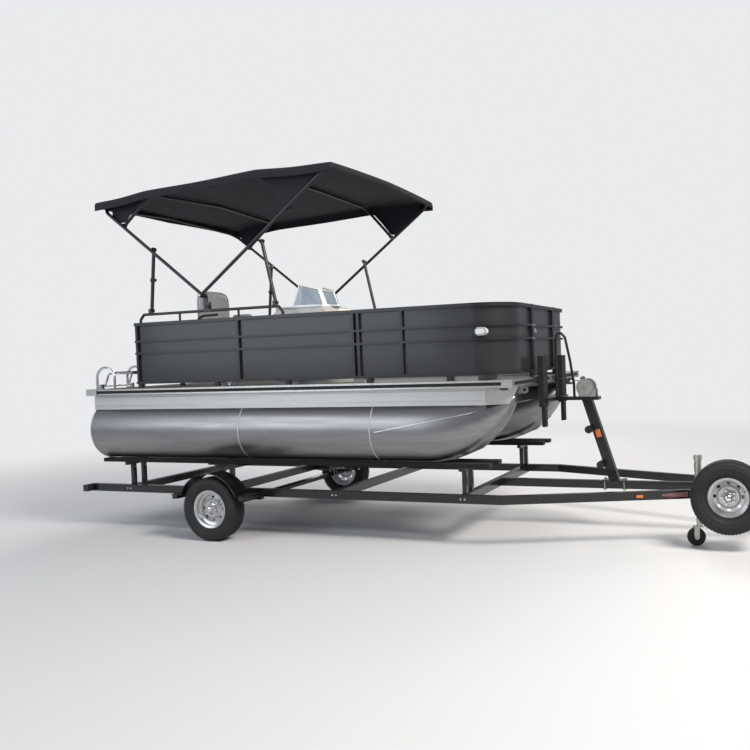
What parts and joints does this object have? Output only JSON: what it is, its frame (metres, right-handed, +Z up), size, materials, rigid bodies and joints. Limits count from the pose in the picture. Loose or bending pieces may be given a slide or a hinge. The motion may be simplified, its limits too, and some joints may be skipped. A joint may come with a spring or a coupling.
{
  "type": "pontoon boat on trailer",
  "caption": "Aluminium pontoon boat with a fenced deck and folding bimini top, held on a bunk trailer with road wheels, winch post, tongue jack and spare wheel.",
  "frame": {"origin": "middle of the object's box, on the ground", "axes": "+X towards the bow and the coupler, +Y to port, +Z up"},
  "size_m": [7.372, 2.5906, 3.524],
  "materials": {
    "brushed_aluminium": "satin",
    "bright_trim": "satin",
    "black_tube": "satin",
    "dark_panel": "gloss",
    "black_rubber": "matt",
    "deck_floor": "matt",
    "gloss_white": "gloss",
    "dark_plastic": "matt",
    "canopy_cloth": "matt",
    "seat_vinyl": "satin",
    "bench_vinyl": "satin",
    "seat_base": "satin",
    "tinted_screen": "gloss",
    "trailer_black": "gloss",
    "carpet_black": "matt",
    "zinc": "satin",
    "wheel_silver": "satin",
    "tyre": "matt",
    "lens": "gloss",
    "polished": "polished"
  },
  "bodies": {
    "boat_and_trailer": {"axle_beam": "trailer_black", "bench_bases": "seat_base", "bench_cushions": "bench_vinyl", "bimini_rails": "black_tube", "boarding_hoop": "trailer_black", "bow_stops": "black_rubber", "bunk_boards": "carpet_black", "bunk_brackets": "zinc", "canopy": "canopy_cloth", "chair_pedestal": "zinc", "corner_castings": "bright_trim", "coupler": "zinc", "cross_beams": "trailer_black", "deck_beams": "brushed_aluminium", "deck_panel": "deck_floor", "deck_trim": "bright_trim", "docking_lights": "gloss_white", "fence_feet": "dark_plastic", "fence_frame_port": "black_tube", "fence_frame_starboard": "black_tube", "fence_panels": "dark_panel", "fenders": "trailer_black", "helm_console": "seat_base", "ladder_handrails": "polished", "leaf_springs": "trailer_black", "marker_lights": "lens", "motor_pod": "brushed_aluminium", "pontoon_port": "brushed_aluminium", "pontoon_starboard": "brushed_aluminium", "rail_brackets": "zinc", "rear_bow": "black_tube", "rear_struts": "black_tube", "risers": "bright_trim", "rub_rails": "black_rubber", "side_rails": "trailer_black", "spare_rim": "wheel_silver", "spare_tyre": "tyre", "tongue_beam": "trailer_black", "winch": "zinc", "winch_post": "trailer_black", "windscreen": "tinted_screen"},
    "wheel_starboard": {"rim_starboard": "wheel_silver", "tyre_starboard": "tyre"},
    "wheel_port": {"rim_port": "wheel_silver", "tyre_port": "tyre"},
    "jack": {"jack_tube": "zinc"},
    "jack_foot": {"jack_leg": "zinc"},
    "jack_roller": {"jack_wheel": "black_rubber"},
    "helm_wheel": {"steering_wheel": "dark_plastic"},
    "helm_chair": {"chair_seat": "seat_vinyl"},
    "bow_gate": {"bow_gate_frame": "black_tube", "bow_gate_panel": "dark_panel"},
    "stern_gate": {"stern_gate_frame": "black_tube", "stern_gate_panel": "dark_panel"},
    "ladder": {"ladder_steps": "polished"},
    "canopy_front": {"front_bow": "black_tube"},
    "canopy_mid_front": {"mid_front_bow": "black_tube"},
    "canopy_mid_rear": {"mid_rear_bow": "black_tube"},
    "front_stays": {"front_struts": "black_tube"}
  },
  "joints": [
    {"name": "wheel_starboard_spin", "type": "hinge", "parent": "boat_and_trailer", "child": "wheel_starboard", "pos_m": [-1.834, -1.2075, 0.305], "axis": [0, 1, 0], "continuous": true},
    {"name": "wheel_port_spin", "type": "hinge", "parent": "boat_and_trailer", "child": "wheel_port", "pos_m": [-1.834, 1.2075, 0.305], "axis": [0, 1, 0], "continuous": true},
    {"name": "jack_swivel", "type": "hinge", "parent": "boat_and_trailer", "child": "jack", "pos_m": [2.616, -0.48124, 0.419], "axis": [-0.3425, 0.9395, 0], "range_deg": [0, 90]},
    {"name": "jack_screw", "type": "slide", "parent": "jack", "child": "jack_foot", "axis": [0, 0, -1], "range_m": [-0.15, 0.1]},
    {"name": "jack_roller_spin", "type": "hinge", "parent": "jack_foot", "child": "jack_roller", "pos_m": [2.58969, -0.49083, 0.076], "axis": [-0.3425, 0.9395, 0], "continuous": true},
    {"name": "helm_turn", "type": "hinge", "parent": "boat_and_trailer", "child": "helm_wheel", "pos_m": [-1.406, -0.63, 2.06], "axis": [-0.8829, 0, 0.4695], "range_deg": [-360, 360]},
    {"name": "chair_swivel", "type": "hinge", "parent": "boat_and_trailer", "child": "helm_chair", "pos_m": [-2.024, -0.64, 1.96], "axis": [0, 0, 1], "continuous": true},
    {"name": "bow_gate_hinge", "type": "hinge", "parent": "boat_and_trailer", "child": "bow_gate", "pos_m": [1.123, 0.3465, 1.8], "axis": [0, 0, -1], "range_deg": [0, 90]},
    {"name": "stern_gate_hinge", "type": "hinge", "parent": "boat_and_trailer", "child": "stern_gate", "pos_m": [-2.878, -0.3935, 1.8], "axis": [0, 0, 1], "range_deg": [0, 90]},
    {"name": "ladder_hinge", "type": "hinge", "parent": "boat_and_trailer", "child": "ladder", "pos_m": [-3.489, -0.695, 1.492], "axis": [0, -1, 0], "range_deg": [0, 215]},
    {"name": "canopy_fold", "type": "hinge", "parent": "boat_and_trailer", "child": "canopy_front", "pos_m": [-1.982, 0, 2.356], "axis": [0, -1, 0], "range_deg": [0, 95], "deforming": ["canopy"]},
    {"name": "mid_front_fold", "type": "hinge", "parent": "canopy_front", "child": "canopy_mid_front", "pos_m": [-0.96115, 0, 3.10135], "axis": [0, -1, 0], "range_deg": [-91, 0]},
    {"name": "mid_rear_fold", "type": "hinge", "parent": "boat_and_trailer", "child": "canopy_mid_rear", "pos_m": [-2.96557, 0, 3.12904], "axis": [0, -1, 0], "range_deg": [0, 95]},
    {"name": "front_stay_fold", "type": "hinge", "parent": "boat_and_trailer", "child": "front_stays", "pos_m": [-1.194, 0, 2.25], "axis": [0, -1, 0], "range_deg": [0, 65]}
  ],
  "couplings": [
    {"joint": "mid_front_fold", "follows": "canopy_fold", "ratio": -0.95},
    {"joint": "mid_rear_fold", "follows": "canopy_fold", "ratio": 1}
  ]
}
